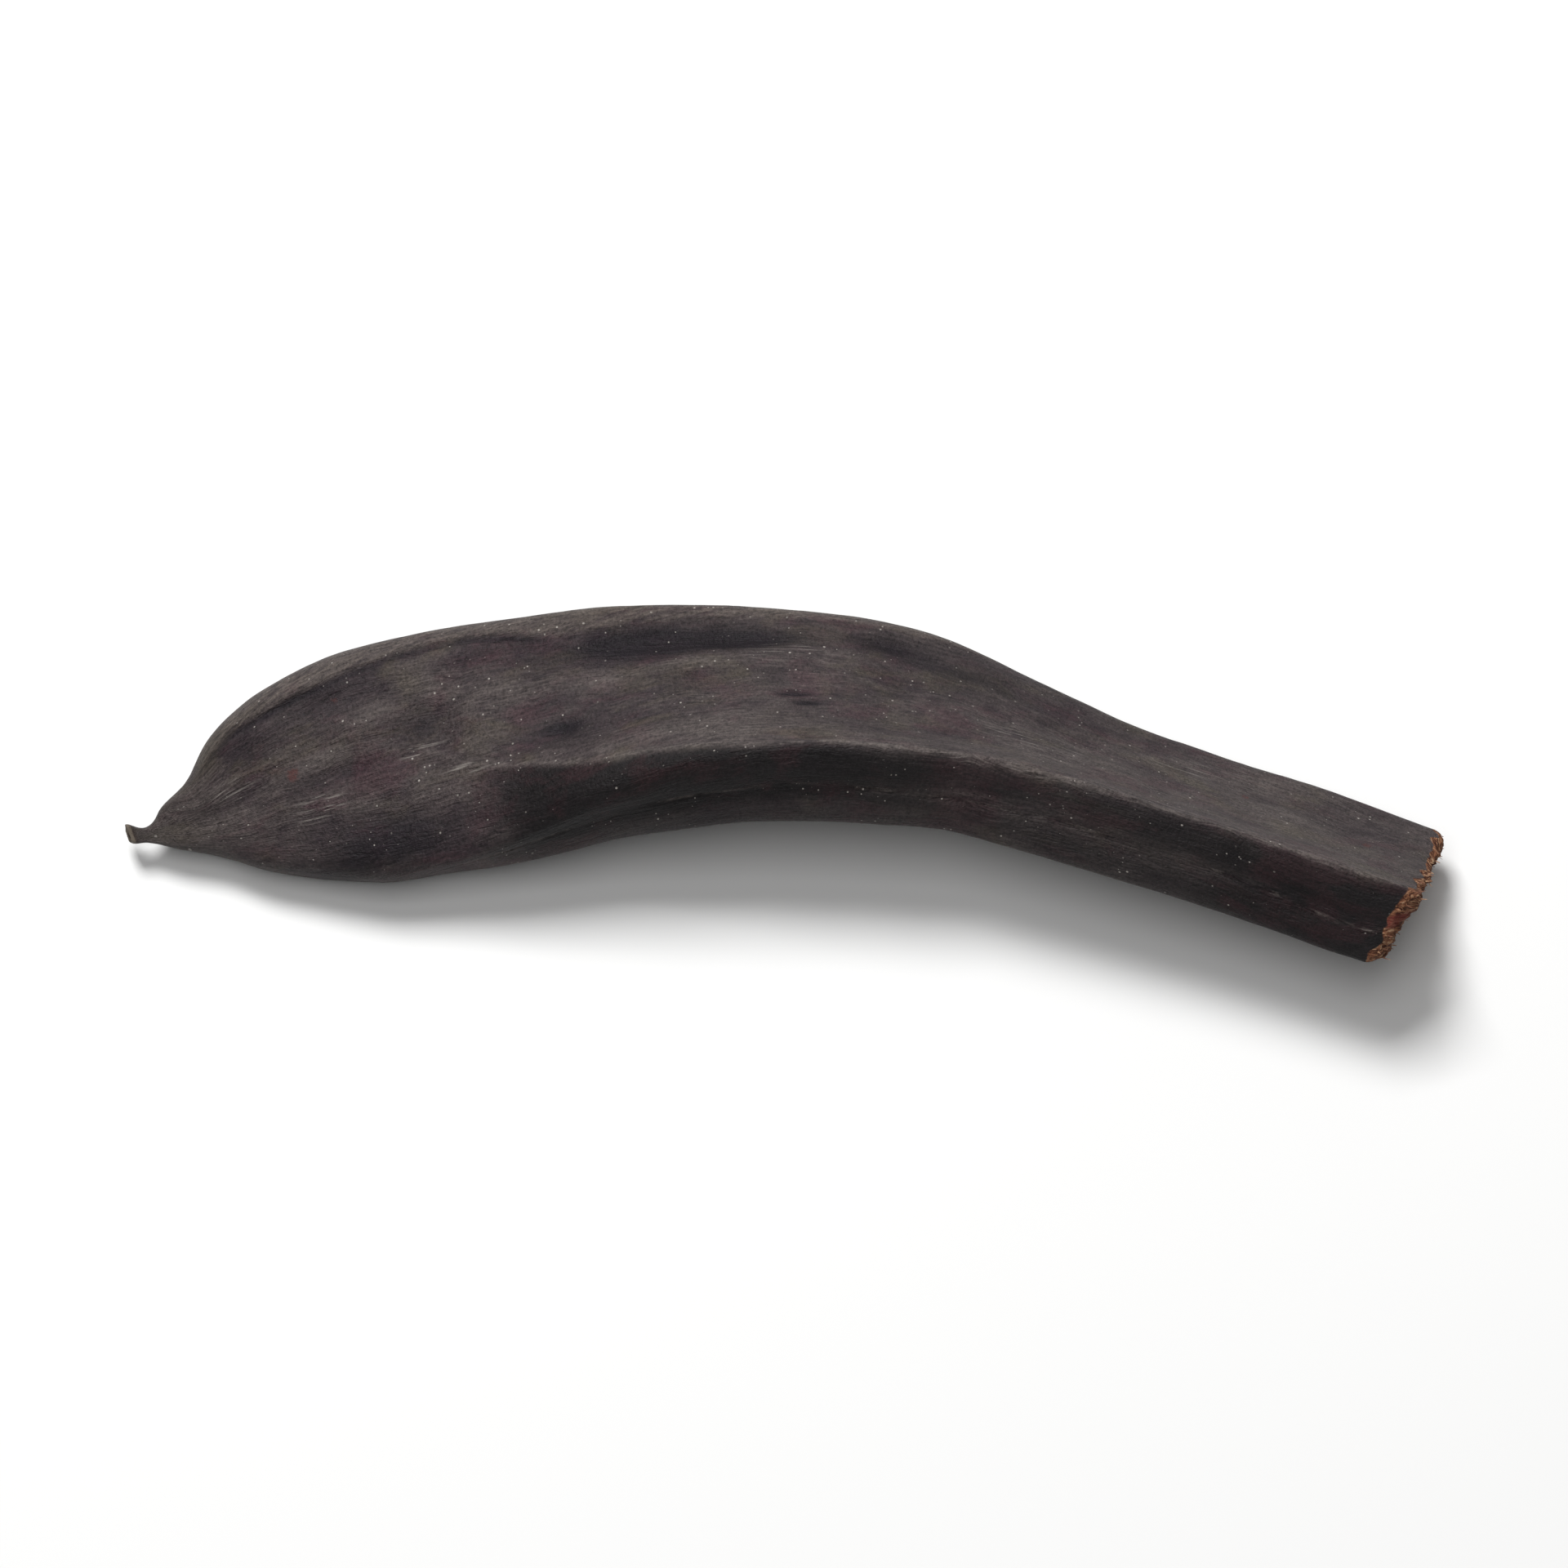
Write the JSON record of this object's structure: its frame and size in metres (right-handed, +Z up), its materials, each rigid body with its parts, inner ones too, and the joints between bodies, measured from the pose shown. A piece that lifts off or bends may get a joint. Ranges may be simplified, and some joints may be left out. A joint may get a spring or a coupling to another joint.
{
  "type": "carob pod",
  "caption": "Dried carob pod: a bent, twisted, leathery seed pod with a stalk stub, snapped off at one end so that a seed shows in its chamber.",
  "frame": {"origin": "middle of the box round the pod, on the surface that it lies on", "axes": "+Z up, +X along the pod from the stalk stub to the broken end, +Y towards the outer seam"},
  "size_m": [0.1346, 0.038, 0.0219],
  "materials": {
    "pod_skin": "leathery, satin",
    "seed_coat": "hard, glossy"
  },
  "bodies": {
    "root": {"pod": "pod_skin", "seed": "seed_coat"}
  },
  "joints": []
}
